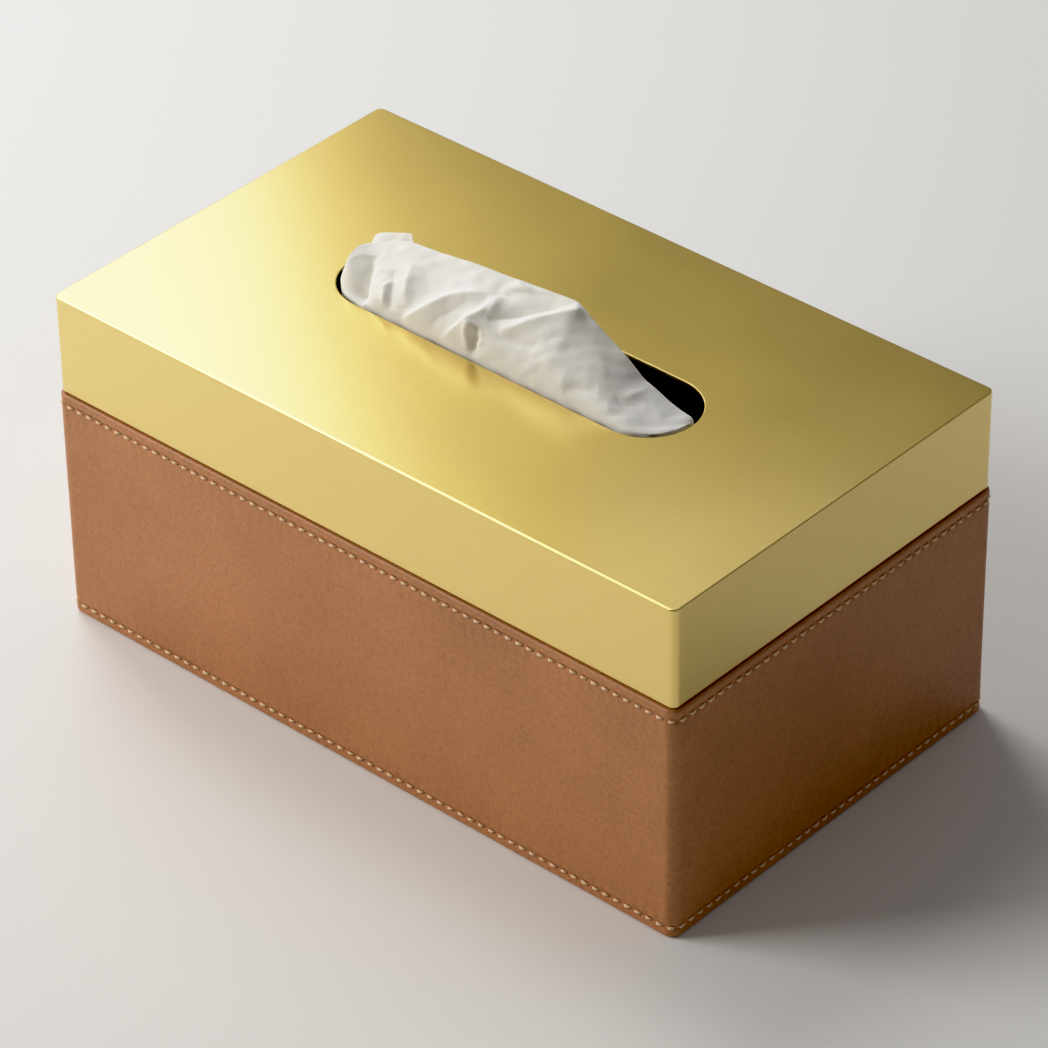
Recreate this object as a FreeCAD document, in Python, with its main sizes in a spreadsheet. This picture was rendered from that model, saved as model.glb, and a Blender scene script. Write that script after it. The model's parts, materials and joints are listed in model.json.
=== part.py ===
import FreeCAD, Part
import math
import os
import Sketcher

from FreeCAD import Placement, Rotation, Vector

# Rectangular tissue box in two halves: a leather-wrapped lower box that holds a stack of
# interleaved facial tissues, and a lift-off lid of brass sheet with an obround slot.
# Millimetres. +X along the box, -Y towards the front, +Z up. The origin is the middle of the
# underside, on the face that rests on the table.

doc = FreeCAD.newDocument("TissueBox")

# Driving sizes: alias, value, meaning.
SIZES = (
    ("lid_length", 238.0, "brass lid, outside, along X"),
    ("lid_width", 140.0, "brass lid, outside, along Y"),
    ("lid_height", 33.0, "brass lid, rim to top"),
    ("lid_sheet", 1.2, "brass sheet thickness"),
    ("lid_corner_radius", 2.2, "upright corners of the lid"),
    ("lid_edge_radius", 1.1, "edge between the lid's top and its sides"),
    ("slot_length", 131.0, "tissue slot, end to end"),
    ("slot_width", 32.0, "tissue slot, across"),
    ("slot_edge_radius", 0.4, "broken edge round the slot"),
    ("lid_felt_thickness", 1.0, "felt under the lid's top"),
    ("felt_slot_margin", 1.0, "felt kept back from the edge of the slot"),
    ("liner_thickness", 4.0, "boards that line the lid's sides"),
    ("liner_corner_radius", 0.8, "upright corners of the liner boards"),
    ("rim_gap", 0.6, "shadow gap between the brass rim and the leather"),
    ("lid_clearance", 0.4, "play between the liner boards and the neck, each side"),
    ("neck_thickness", 3.0, "boards of the neck that the lid drops over"),
    ("neck_rise", 9.0, "neck above the leather shoulder"),
    ("neck_edge_radius", 0.9, "softened edges of the neck boards"),
    ("body_height", 80.0, "leather-wrapped box, table to shoulder"),
    ("board_thickness", 5.0, "wall boards"),
    ("rabbet_depth", 2.5, "rabbets at the boards' ends and along their feet"),
    ("floor_thickness", 5.0, "floor board"),
    ("leather_thickness", 1.5, "leather on the walls"),
    ("turned_thickness", 0.9, "leather pared thin where it is turned over an edge"),
    ("hem_width", 9.0, "leather turned under the box"),
    ("sleeve_corner_radius", 3.7, "upright corners of the leather"),
    ("sleeve_edge_radius", 1.3, "rolled top and bottom edges of the leather"),
    ("seam_thread_diameter", 0.8, "sewing thread"),
    ("seam_channel_width", 1.2, "pressed channel that the thread lies in"),
    ("top_seam_drop", 3.6, "upper seam below the shoulder"),
    ("bottom_seam_rise", 4.1, "lower seam above the table"),
    ("base_felt_thickness", 1.2, "felt that the box stands on"),
    ("base_felt_gap", 0.5, "between the base felt and the turned leather"),
    ("floor_lining_thickness", 1.0, "suede on the floor"),
    ("lining_gap", 0.3, "between the floor lining and the neck boards"),
    ("stack_end_gap", 7.9, "between the stack and the neck boards, at each end"),
    ("stack_side_gap", 8.9, "between the stack and the neck boards, front and back"),
    ("stack_height", 48.0, "part-used stack"),
    ("stack_corner_radius", 1.5, "upright corners of the stack"),
    ("tuft_rise", 23.4, "drawn-up tissue above the lid"),
    ("tuft_slack", 2.4, "drawn-up tissue inside the slot, each side"),
)

# Sizes that follow from the driving ones: alias, formula, meaning.
FITS = (
    ("rim_height", "sizes.body_height + sizes.rim_gap", "table to the brass rim"),
    ("top_height", "rim_height + sizes.lid_height", "table to the top of the lid"),
    ("lid_inner_length", "sizes.lid_length - 2 * sizes.lid_sheet", "lid, inside"),
    ("lid_inner_width", "sizes.lid_width - 2 * sizes.lid_sheet", "lid, inside"),
    ("lid_inner_corner", "max(sizes.lid_corner_radius - sizes.lid_sheet; 0.2)", "lid, inside"),
    ("lid_wall", "sizes.lid_sheet + sizes.liner_thickness", "brass and liner together"),
    ("liner_height", "top_height - sizes.lid_sheet - sizes.lid_felt_thickness - sizes.body_height",
     "shoulder to the lid's felt"),
    ("neck_length", "sizes.lid_length - 2 * (lid_wall + sizes.lid_clearance)", "neck, outside"),
    ("neck_width", "sizes.lid_width - 2 * (lid_wall + sizes.lid_clearance)", "neck, outside"),
    ("inside_length", "neck_length - 2 * sizes.neck_thickness", "clear space in the box"),
    ("inside_width", "neck_width - 2 * sizes.neck_thickness", "clear space in the box"),
    ("board_length", "neck_length + 2 * sizes.board_thickness", "wall boards, outside"),
    ("board_width", "neck_width + 2 * sizes.board_thickness", "wall boards, outside"),
    ("board_corner", "max(sizes.sleeve_corner_radius - sizes.leather_thickness; 0.2)", "wall boards"),
    ("board_foot", "sizes.base_felt_thickness", "table to the underside of the boards"),
    ("board_top", "sizes.body_height - sizes.turned_thickness", "table to the top of the boards"),
    ("lap", "sizes.board_thickness - sizes.rabbet_depth", "what a rabbet leaves of a board"),
    ("floor_top", "board_foot + sizes.floor_thickness", "table to the top of the floor board"),
    ("neck_top", "sizes.body_height + sizes.neck_rise", "table to the top of the neck"),
    ("sleeve_length", "board_length + 2 * sizes.leather_thickness", "leather, outside"),
    ("sleeve_width", "board_width + 2 * sizes.leather_thickness", "leather, outside"),
    ("sleeve_foot", "board_foot - sizes.turned_thickness", "table to the turned-under leather"),
    ("hem_length", "sleeve_length - 2 * sizes.hem_width", "opening inside the turned hem"),
    ("hem_opening_width", "sleeve_width - 2 * sizes.hem_width", "opening inside the turned hem"),
    ("channel_depth", "sizes.seam_thread_diameter / 2", "the thread lies half sunk"),
    ("top_seam_height", "sizes.body_height - sizes.top_seam_drop", "table to the upper seam"),
    ("stack_length", "inside_length - 2 * sizes.stack_end_gap", "folded tissues, along X"),
    ("stack_width", "inside_width - 2 * sizes.stack_side_gap", "folded tissues, along Y"),
    ("stack_foot", "floor_top + sizes.floor_lining_thickness", "table to the stack"),
    ("stack_top", "stack_foot + sizes.stack_height", "table to the top of the stack"),
    ("tuft_length", "sizes.slot_length - 2 * sizes.tuft_slack", "room for the tissue in the slot"),
    ("tuft_width", "sizes.slot_width - 2 * sizes.tuft_slack", "room for the tissue in the slot"),
)


def add_sheet(name, rows, mark=""):
    """Fill a spreadsheet: alias in column A, value or formula in B, meaning in C."""
    sheet = doc.addObject("Spreadsheet::Sheet", name)
    for row, (alias, content, meaning) in enumerate(rows, start=1):
        sheet.set(f"A{row}", alias)
        sheet.set(f"B{row}", f"{mark}{content}")
        sheet.setAlias(f"B{row}", alias)
        sheet.set(f"C{row}", meaning)
    doc.recompute()
    return sheet


sizes = add_sheet("sizes", SIZES)
fits = add_sheet("fits", FITS, mark="=")

TINY = 1e-4     # tolerance when edges are picked by their place
OVERCUT = 2.0   # how far a cut runs past the face it opens

# The four sides of the box, and which way each lies from the centre, as X and Y signs.
# A side piece is drawn with its outer face on its own X axis and its thickness towards +Y,
# and turned about Z so that its outer face looks outwards.
SIDES = {"front": (0, -1), "right": (1, 0), "back": (0, 1), "left": (-1, 0)}
FULL_LENGTH_SIDES = ("front", "back")

THREAD_FLATS = 8  # sides of the thread's section


# ---- Drawing helpers ---------------------------------------------------------------------

def value(expression):
    """Number that an expression over the sheets gives now."""
    return float(fits.evalExpression(expression))


def add_body(name, height="0", turn=0.0):
    body = doc.addObject("PartDesign::Body", name)
    body.Label = name
    body.Placement = Placement(Vector(), Rotation(Vector(0, 0, 1), turn))
    body.setExpression("Placement.Base.z", height)
    return body


def add_side_body(name, side, outer_length, outer_width, height):
    """Body of a side piece, turned and moved to its side of a rectangle of the given size."""
    toward_x, toward_y = SIDES[side]
    body = add_body(name, height, turn=math.degrees(math.atan2(toward_x, -toward_y)))
    body.setExpression("Placement.Base.x", f"{toward_x} * {outer_length} / 2")
    body.setExpression("Placement.Base.y", f"{toward_y} * {outer_width} / 2")
    return body


def add_sketch(body, plane_role="XY_Plane", offset=("0", "0", "0")):
    plane = next(item for item in body.Origin.OriginFeatures if item.Role == plane_role)
    sketch = body.newObject("Sketcher::SketchObject", "Outline")
    sketch.AttachmentSupport = (plane, [""])
    sketch.MapMode = "FlatFace"
    for axis, expression in zip("xyz", offset):
        sketch.setExpression(f"AttachmentOffset.Base.{axis}", expression)
    return sketch


def bind(sketch, name, expression, *constraint):
    """Add a constraint with a size and tie the size to the sheets."""
    index = sketch.addConstraint(Sketcher.Constraint(*constraint, value(expression)))
    sketch.renameConstraint(index, name)
    sketch.setExpression(f"Constraints.{name}", expression)


def arc(x, y, radius, start_degrees, end_degrees):
    circle = Part.Circle(Vector(x, y, 0), Vector(0, 0, 1), radius)
    return Part.ArcOfCircle(circle, math.radians(start_degrees), math.radians(end_degrees))


def circle(radius):
    return Part.Circle(Vector(), Vector(0, 0, 1), radius)


def line(x0, y0, x1, y1):
    return Part.LineSegment(Vector(x0, y0, 0), Vector(x1, y1, 0))


def rectangle(sketch, tag, left, right, low, high):
    """Closed rectangle whose four sides stand at the given expressions."""
    x0, x1, y0, y1 = (value(edge) for edge in (left, right, low, high))
    first = sketch.GeometryCount
    corners = ((x0, y0), (x1, y0), (x1, y1), (x0, y1))
    for index, corner in enumerate(corners):
        sketch.addGeometry(line(*corner, *corners[(index + 1) % 4]), False)
    for index in range(4):
        nearer = first + index
        further = first + (index + 1) % 4
        sketch.addConstraint(Sketcher.Constraint("Coincident", nearer, 2, further, 1))
        direction = "Horizontal" if index % 2 == 0 else "Vertical"
        sketch.addConstraint(Sketcher.Constraint(direction, nearer))
    bind(sketch, f"{tag}_left", left, "DistanceX", -1, 1, first, 1)
    bind(sketch, f"{tag}_low", low, "DistanceY", -1, 1, first, 1)
    bind(sketch, f"{tag}_right", right, "DistanceX", -1, 1, first + 2, 1)
    bind(sketch, f"{tag}_high", high, "DistanceY", -1, 1, first + 2, 1)


def rounded_rectangle(sketch, tag, length, width, radius):
    """Rectangle with rounded corners, centred on the sketch's origin."""
    across, up, round_off = value(length) / 2, value(width) / 2, value(radius)
    inner_x, inner_y = across - round_off, up - round_off
    first = sketch.GeometryCount
    sides = (
        ((-inner_x, -up, inner_x, -up), (inner_x, -inner_y, -90)),
        ((across, -inner_y, across, inner_y), (inner_x, inner_y, 0)),
        ((inner_x, up, -inner_x, up), (-inner_x, inner_y, 90)),
        ((-across, inner_y, -across, -inner_y), (-inner_x, -inner_y, 180)),
    )
    for ends, (centre_x, centre_y, start) in sides:
        sketch.addGeometry(line(*ends), False)
        sketch.addGeometry(arc(centre_x, centre_y, round_off, start, start + 90), False)
    for index in range(8):
        following = first + (index + 1) % 8
        sketch.addConstraint(Sketcher.Constraint("Tangent", first + index, 2, following, 1))
    for index, direction in ((0, "Horizontal"), (2, "Vertical"), (4, "Horizontal"), (6, "Vertical")):
        sketch.addConstraint(Sketcher.Constraint(direction, first + index))
    for index in (3, 5, 7):
        sketch.addConstraint(Sketcher.Constraint("Equal", first + 1, first + index))
    sketch.addConstraint(Sketcher.Constraint("Symmetric", first + 1, 3, first + 5, 3, -1, 1))
    bind(sketch, f"{tag}_radius", radius, "Radius", first + 1)
    bind(sketch, f"{tag}_length", length, "DistanceX", first + 6, 1, first + 2, 1)
    bind(sketch, f"{tag}_width", width, "DistanceY", first, 1, first + 4, 1)


def obround(sketch, tag, length, width):
    """Slot shape with full round ends along X, centred on the sketch's origin."""
    radius = value(width) / 2
    reach = value(length) / 2 - radius
    first = sketch.GeometryCount
    sketch.addGeometry(line(-reach, -radius, reach, -radius), False)
    sketch.addGeometry(arc(reach, 0, radius, -90, 90), False)
    sketch.addGeometry(line(reach, radius, -reach, radius), False)
    sketch.addGeometry(arc(-reach, 0, radius, 90, 270), False)
    for index in range(4):
        following = first + (index + 1) % 4
        sketch.addConstraint(Sketcher.Constraint("Tangent", first + index, 2, following, 1))
    sketch.addConstraint(Sketcher.Constraint("Horizontal", first))
    sketch.addConstraint(Sketcher.Constraint("Equal", first + 1, first + 3))
    sketch.addConstraint(Sketcher.Constraint("Symmetric", first + 1, 3, first + 3, 3, -1, 1))
    bind(sketch, f"{tag}_radius", f"({width}) / 2", "Radius", first + 1)
    bind(sketch, f"{tag}_reach", f"({length}) - ({width})", "DistanceX", first + 3, 3, first + 1, 3)


def regular_polygon(sketch, tag, count, radius):
    """Polygon round the sketch's origin, with a flat towards each axis."""
    across = value(radius) / math.cos(math.pi / count)
    corners = [(across * math.cos(angle), across * math.sin(angle))
               for angle in (math.pi * (2 * index + 1) / count for index in range(count))]
    for index, corner in enumerate(corners):
        sketch.addGeometry(line(*corner, *corners[(index + 1) % count]), False)
    guide = sketch.addGeometry(circle(across), True)
    sketch.addConstraint(Sketcher.Constraint("Coincident", guide, 3, -1, 1))
    for index in range(count):
        sketch.addConstraint(Sketcher.Constraint("Coincident", index, 2, (index + 1) % count, 1))
        sketch.addConstraint(Sketcher.Constraint("PointOnObject", index, 1, guide))
    for index in range(1, count):
        sketch.addConstraint(Sketcher.Constraint("Equal", 0, index))
    sketch.addConstraint(Sketcher.Constraint("Vertical", count - 1))
    bind(sketch, f"{tag}_corners", f"({radius}) / cos({180 / count} deg)", "Radius", guide)


def spindle(sketch, tag, length, width):
    """Long six-sided shape along X with a point at each end, centred on the origin."""
    end, flank = value(length) / 2, value(width) / 2
    shoulder = end - flank
    corners = ((-end, 0), (-shoulder, -flank), (shoulder, -flank),
               (end, 0), (shoulder, flank), (-shoulder, flank))
    for index, corner in enumerate(corners):
        sketch.addGeometry(line(*corner, *corners[(index + 1) % 6]), False)
    for index in range(6):
        sketch.addConstraint(Sketcher.Constraint("Coincident", index, 2, (index + 1) % 6, 1))
    sketch.addConstraint(Sketcher.Constraint("PointOnObject", 0, 1, -1))
    sketch.addConstraint(Sketcher.Constraint("Horizontal", 1))
    for index in (0, 1, 2):
        sketch.addConstraint(Sketcher.Constraint("Symmetric", index, 1, index + 3, 1, -1, 1))
    bind(sketch, f"{tag}_end", f"({length}) / 2", "DistanceX", -1, 1, 3, 1)
    bind(sketch, f"{tag}_flank", f"({width}) / 2", "DistanceY", -1, 1, 4, 1)
    bind(sketch, f"{tag}_right", f"({length} - ({width})) / 2", "DistanceX", -1, 1, 2, 1)
    bind(sketch, f"{tag}_left", f"({length} - ({width})) / 2", "DistanceX", 1, 1, -1, 1)


def pad(body, sketch, length, both_ways=False):
    feature = body.newObject("PartDesign::Pad", "Pad")
    feature.Profile = sketch
    feature.SideType = "Symmetric" if both_ways else "One side"
    feature.setExpression("Length", length)
    doc.recompute()
    return feature


def pocket(body, sketch, length, both_ways=False):
    """Cut a sketch out of a body, upwards from its plane or both ways, and see that it bites."""
    before = body.Tip.Shape.Volume
    feature = body.newObject("PartDesign::Pocket", "Pocket")
    feature.Profile = sketch
    feature.SideType = "Symmetric" if both_ways else "One side"
    feature.Reversed = not both_ways
    feature.setExpression("Length", length)
    doc.recompute()
    if not feature.Shape.Volume < before:
        raise RuntimeError(f"{body.Label}: a pocket removes nothing")
    return feature


def fillet(body, radius, picks):
    """Round every edge of the body for which picks(edge) is true."""
    base = body.Tip
    names = [f"Edge{n}" for n, edge in enumerate(base.Shape.Edges, start=1) if picks(edge)]
    if not names:
        raise RuntimeError(f"{body.Label}: no edge to round")
    feature = body.newObject("PartDesign::Fillet", "Fillet")
    feature.Base = (base, names)
    feature.setExpression("Radius", radius)
    doc.recompute()
    return feature


def lies_at_height(edge, height):
    return abs(edge.BoundBox.ZMin - height) < TINY and abs(edge.BoundBox.ZMax - height) < TINY


def is_upright(edge):
    box = edge.BoundBox
    return box.XLength < TINY and box.YLength < TINY


def is_outer_upright(edge):
    """Upright edges of a side piece at the two ends of its outer face."""
    return is_upright(edge) and abs(edge.BoundBox.YMin) < TINY


# ---- Lower box ---------------------------------------------------------------------------

def make_wall_board(side):
    """Wall board with a rabbet along its foot for the floor board.

    The front and back boards run the full length and have rabbets at their ends too, which
    take the ends of the left and right boards.
    """
    body = add_side_body(f"{side}_board", side, "fits.board_length", "fits.board_width",
                         "fits.board_foot")
    full = side in FULL_LENGTH_SIDES
    length = "fits.board_length" if full else "(fits.board_width - 2 * fits.lap)"
    plan = add_sketch(body)
    rectangle(plan, "board", f"-{length} / 2", f"{length} / 2", "0", "sizes.board_thickness")
    pad(body, plan, "fits.board_top - fits.board_foot")
    foot = add_sketch(body, "YZ_Plane")
    rectangle(foot, "rabbet", "fits.lap", f"sizes.board_thickness + {OVERCUT}",
              f"-{OVERCUT}", "sizes.floor_thickness")
    pocket(body, foot, f"{length} + {OVERCUT}", both_ways=True)
    if full:
        ends = add_sketch(body, offset=("0", "0", f"-{OVERCUT}"))
        for tag, toward in (("right", 1), ("left", -1)):
            seat = f"{toward} * ({length} / 2 - sizes.board_thickness)"
            past = f"{toward} * ({length} / 2 + {OVERCUT})"
            low, high = (seat, past) if toward > 0 else (past, seat)
            rectangle(ends, tag, low, high, "fits.lap", f"sizes.board_thickness + {OVERCUT}")
        pocket(body, ends, f"fits.board_top + {OVERCUT}")
        fillet(body, "fits.board_corner", is_outer_upright)
    return body


def make_floor_board():
    """Floor board, let into the rabbets along the feet of the four walls."""
    body = add_body("floor_board", "fits.board_foot")
    plan = add_sketch(body)
    length = "(fits.board_length / 2 - fits.lap)"
    width = "(fits.board_width / 2 - fits.lap)"
    rectangle(plan, "floor", f"-{length}", length, f"-{width}", width)
    pad(body, plan, "sizes.floor_thickness")
    return body


def make_neck_board(side):
    """Inner board that stands on the floor and rises above the shoulder to guide the lid."""
    body = add_side_body(f"neck_{side}", side, "fits.neck_length", "fits.neck_width",
                         "fits.floor_top")
    full = side in FULL_LENGTH_SIDES
    length = "fits.neck_length" if full else "(fits.neck_width - 2 * sizes.neck_thickness)"
    plan = add_sketch(body)
    rectangle(plan, "neck", f"-{length} / 2", f"{length} / 2", "0", "sizes.neck_thickness")
    pad(body, plan, "fits.neck_top - fits.floor_top")
    if full:
        fillet(body, "sizes.neck_edge_radius", is_outer_upright)
    top = value("fits.neck_top - fits.floor_top")
    fillet(body, "sizes.neck_edge_radius",
           lambda edge: lies_at_height(edge, top) and edge.BoundBox.XLength > TINY)
    return body


def make_leather_sleeve():
    """Leather wrapped round the walls, turned in over their tops and under their feet."""
    body = add_body("leather_sleeve")
    outline = add_sketch(body, offset=("0", "0", "fits.sleeve_foot"))
    rounded_rectangle(outline, "sleeve", "fits.sleeve_length", "fits.sleeve_width",
                      "sizes.sleeve_corner_radius")
    pad(body, outline, "sizes.body_height - fits.sleeve_foot")
    foot, top = value("fits.sleeve_foot"), value("sizes.body_height")
    fillet(body, "sizes.sleeve_edge_radius",
           lambda edge: lies_at_height(edge, foot) or lies_at_height(edge, top))

    hem = add_sketch(body, offset=("0", "0", f"fits.sleeve_foot - {OVERCUT}"))
    rounded_rectangle(hem, "hem", "fits.hem_length", "fits.hem_opening_width",
                      "sizes.sleeve_corner_radius")
    pocket(body, hem, f"sizes.turned_thickness + 2 * {OVERCUT}")

    boards = add_sketch(body, offset=("0", "0", "fits.board_foot"))
    rounded_rectangle(boards, "boards", "fits.board_length", "fits.board_width",
                      "fits.board_corner")
    pocket(body, boards, "fits.board_top - fits.board_foot")

    mouth = add_sketch(body, offset=("0", "0", f"fits.board_top - {OVERCUT}"))
    rounded_rectangle(mouth, "mouth", "fits.neck_length", "fits.neck_width",
                      "sizes.neck_edge_radius")
    pocket(body, mouth, f"sizes.turned_thickness + 2 * {OVERCUT}")

    for tag, height in (("top", "fits.top_seam_height"), ("bottom", "sizes.bottom_seam_rise")):
        channel = add_sketch(body, offset=("0", "0", height))
        rounded_rectangle(channel, f"{tag}_outside", f"fits.sleeve_length + {OVERCUT}",
                          f"fits.sleeve_width + {OVERCUT}",
                          f"sizes.sleeve_corner_radius + {OVERCUT} / 2")
        rounded_rectangle(channel, f"{tag}_bed", "fits.sleeve_length - 2 * fits.channel_depth",
                          "fits.sleeve_width - 2 * fits.channel_depth",
                          "sizes.sleeve_corner_radius - fits.channel_depth")
        pocket(body, channel, "sizes.seam_channel_width", both_ways=True)
    return body


def make_seam_thread(name, height):
    """Thread of one seam, a cord that runs right round the sleeve, half sunk in it."""
    body = add_body(name)
    path = add_sketch(body, offset=("0", "0", height))
    rounded_rectangle(path, "seam", "fits.sleeve_length", "fits.sleeve_width",
                      "sizes.sleeve_corner_radius")
    start_x = "(sizes.sleeve_corner_radius - fits.sleeve_length / 2)"
    section = add_sketch(body, "YZ_Plane", offset=("-fits.sleeve_width / 2", height, start_x))
    regular_polygon(section, "thread", THREAD_FLATS, "sizes.seam_thread_diameter / 2")
    doc.recompute()
    sweep = body.newObject("PartDesign::AdditivePipe", "Sweep")
    sweep.Profile = section
    sweep.Spine = path
    doc.recompute()
    return body


def make_base_felt():
    """Felt glued inside the turned leather; the box stands on it."""
    body = add_body("base_felt")
    plan = add_sketch(body)
    rounded_rectangle(plan, "felt", "fits.hem_length - 2 * sizes.base_felt_gap",
                      "fits.hem_opening_width - 2 * sizes.base_felt_gap",
                      "sizes.sleeve_corner_radius - sizes.base_felt_gap")
    pad(body, plan, "sizes.base_felt_thickness")
    return body


def make_floor_lining():
    """Suede on the floor board, between the neck boards."""
    body = add_body("floor_lining", "fits.floor_top")
    length = "(fits.inside_length / 2 - sizes.lining_gap)"
    width = "(fits.inside_width / 2 - sizes.lining_gap)"
    plan = add_sketch(body)
    rectangle(plan, "lining", f"-{length}", length, f"-{width}", width)
    pad(body, plan, "sizes.floor_lining_thickness")
    return body


# ---- Tissues -----------------------------------------------------------------------------

def make_tissue_stack():
    """Stack of interleaved folded tissues, lying on the floor lining."""
    body = add_body("tissue_stack", "fits.stack_foot")
    plan = add_sketch(body)
    rounded_rectangle(plan, "stack", "fits.stack_length", "fits.stack_width",
                      "sizes.stack_corner_radius")
    pad(body, plan, "sizes.stack_height")
    return body


# Outline of the drawn-up tissue, from the stack to its tip. Heights are shares of the way
# from the stack to the top of the lid, then of tuft_rise above it. Left and right are shares
# of half the room in the slot's length, front and back of half the room in its width.
TUFT_BELOW_LID = (
    (0.00, -0.90, 0.88, -0.72, 0.30),
    (0.55, -0.94, 0.90, -0.80, 0.42),
    (1.00, -0.97, 0.95, -0.96, 0.52),
)
TUFT_ABOVE_LID = (
    (0.26, -0.95, 0.76, -0.88, 0.46),
    (0.58, -0.86, 0.60, -0.62, 0.38),
    (0.84, -0.66, 0.47, -0.36, 0.28),
    (1.00, -0.30, 0.38, -0.14, 0.16),
)


def make_pulled_tissue():
    """Tissue drawn up from the stack through the slot, as one gathered tuft."""
    body = add_body("pulled_tissue")
    to_lid = "(fits.top_height - fits.stack_top)"
    levels = [(f"fits.stack_top + {share} * {to_lid}", outline)
              for share, *outline in TUFT_BELOW_LID]
    levels += [(f"fits.top_height + {share} * sizes.tuft_rise", outline)
               for share, *outline in TUFT_ABOVE_LID]
    sections = []
    for number, (height, (left, right, front, back)) in enumerate(levels):
        middle_x = f"{(left + right) / 4:.4f} * fits.tuft_length"
        middle_y = f"{(front + back) / 4:.4f} * fits.tuft_width"
        section = add_sketch(body, offset=(middle_x, middle_y, height))
        spindle(section, f"tuft{number}", f"{(right - left) / 2:.4f} * fits.tuft_length",
                f"{(back - front) / 2:.4f} * fits.tuft_width")
        sections.append(section)
    doc.recompute()
    loft = body.newObject("PartDesign::AdditiveLoft", "Loft")
    loft.Profile = sections[0]
    loft.Sections = sections[1:]
    loft.Ruled = True
    doc.recompute()
    return body


# ---- Lid ---------------------------------------------------------------------------------

def make_lid_shell():
    """Brass lid, open below, with soft edges and an obround slot in its top."""
    body = add_body("lid_shell", "fits.rim_height")
    outline = add_sketch(body)
    rounded_rectangle(outline, "lid", "sizes.lid_length", "sizes.lid_width",
                      "sizes.lid_corner_radius")
    pad(body, outline, "sizes.lid_height")
    top = value("sizes.lid_height")
    fillet(body, "sizes.lid_edge_radius", lambda edge: lies_at_height(edge, top))

    hollow = add_sketch(body, offset=("0", "0", f"-{OVERCUT}"))
    rounded_rectangle(hollow, "hollow", "fits.lid_inner_length", "fits.lid_inner_width",
                      "fits.lid_inner_corner")
    pocket(body, hollow, f"sizes.lid_height - sizes.lid_sheet + {OVERCUT}")

    slot = add_sketch(body, offset=("0", "0", f"sizes.lid_height - sizes.lid_sheet - {OVERCUT}"))
    obround(slot, "slot", "sizes.slot_length", "sizes.slot_width")
    pocket(body, slot, f"sizes.lid_sheet + 2 * {OVERCUT}")
    reach = value("sizes.slot_length") / 2 + TINY
    fillet(body, "sizes.slot_edge_radius",
           lambda edge: lies_at_height(edge, top) and edge.BoundBox.XMax < reach
           and edge.BoundBox.XMin > -reach and edge.BoundBox.YMax < reach)
    return body


def make_lid_top_felt():
    """Felt under the lid's top, kept back a little from the slot."""
    body = add_body("lid_top_felt", "fits.top_height - sizes.lid_sheet - sizes.lid_felt_thickness")
    plan = add_sketch(body)
    rounded_rectangle(plan, "felt", "fits.lid_inner_length", "fits.lid_inner_width",
                      "fits.lid_inner_corner")
    obround(plan, "slot", "sizes.slot_length + 2 * sizes.felt_slot_margin",
            "sizes.slot_width + 2 * sizes.felt_slot_margin")
    pad(body, plan, "sizes.lid_felt_thickness")
    return body


def make_lid_liner(side):
    """Liner board inside one side of the lid; its foot rests on the leather shoulder."""
    body = add_side_body(f"lid_liner_{side}", side, "fits.lid_inner_length",
                         "fits.lid_inner_width", "sizes.body_height")
    full = side in FULL_LENGTH_SIDES
    length = "fits.lid_inner_length" if full else "(fits.lid_inner_width - 2 * sizes.liner_thickness)"
    plan = add_sketch(body)
    rectangle(plan, "liner", f"-{length} / 2", f"{length} / 2", "0", "sizes.liner_thickness")
    pad(body, plan, "fits.liner_height")
    if full:
        fillet(body, "max(fits.lid_inner_corner; sizes.liner_corner_radius)", is_outer_upright)
    return body


# ---- Assembly and export -----------------------------------------------------------------

parts = [make_wall_board(side) for side in SIDES]
parts.append(make_floor_board())
parts += [make_neck_board(side) for side in SIDES]
parts.append(make_leather_sleeve())
parts.append(make_seam_thread("top_seam_thread", "fits.top_seam_height"))
parts.append(make_seam_thread("bottom_seam_thread", "sizes.bottom_seam_rise"))
parts.append(make_base_felt())
parts.append(make_floor_lining())
parts.append(make_tissue_stack())
parts.append(make_lid_shell())
parts.append(make_lid_top_felt())
parts += [make_lid_liner(side) for side in SIDES]
parts.append(make_pulled_tissue())
doc.recompute()

for item in doc.Objects:
    if "Invalid" in item.State or "Error" in item.State:
        raise RuntimeError(f"{item.Name} could not be worked out: {item.State}")
for part in parts:
    if part.Shape.isNull() or not part.Shape.isValid() or len(part.Shape.Solids) != 1:
        raise RuntimeError(f"{part.Label} is not one sound solid")

os.makedirs("parts", exist_ok=True)
for part in parts:
    part.Shape.exportStep(f"parts/{part.Label}.step")
    box = part.Shape.BoundBox
    print(f"{part.Label:20s} {part.Shape.Volume / 1000:9.2f} cm3  "
          f"x {box.XMin:8.2f} {box.XMax:8.2f}  y {box.YMin:8.2f} {box.YMax:8.2f}  "
          f"z {box.ZMin:7.2f} {box.ZMax:7.2f}")
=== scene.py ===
"""Looks for a leather-wrapped tissue box with a lift-off lid of brass sheet.

Laid out as an add-on and run as a script. Every length is in metres unless a name says mm.
+X runs along the box, -Y is its front and +Z is up, as in the CAD model that it dresses.
"""

import json
import math
from functools import partial

import bpy
import numpy as np
from bpy.props import FloatProperty, FloatVectorProperty, IntProperty, PointerProperty
from mathutils import Matrix, Vector


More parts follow.
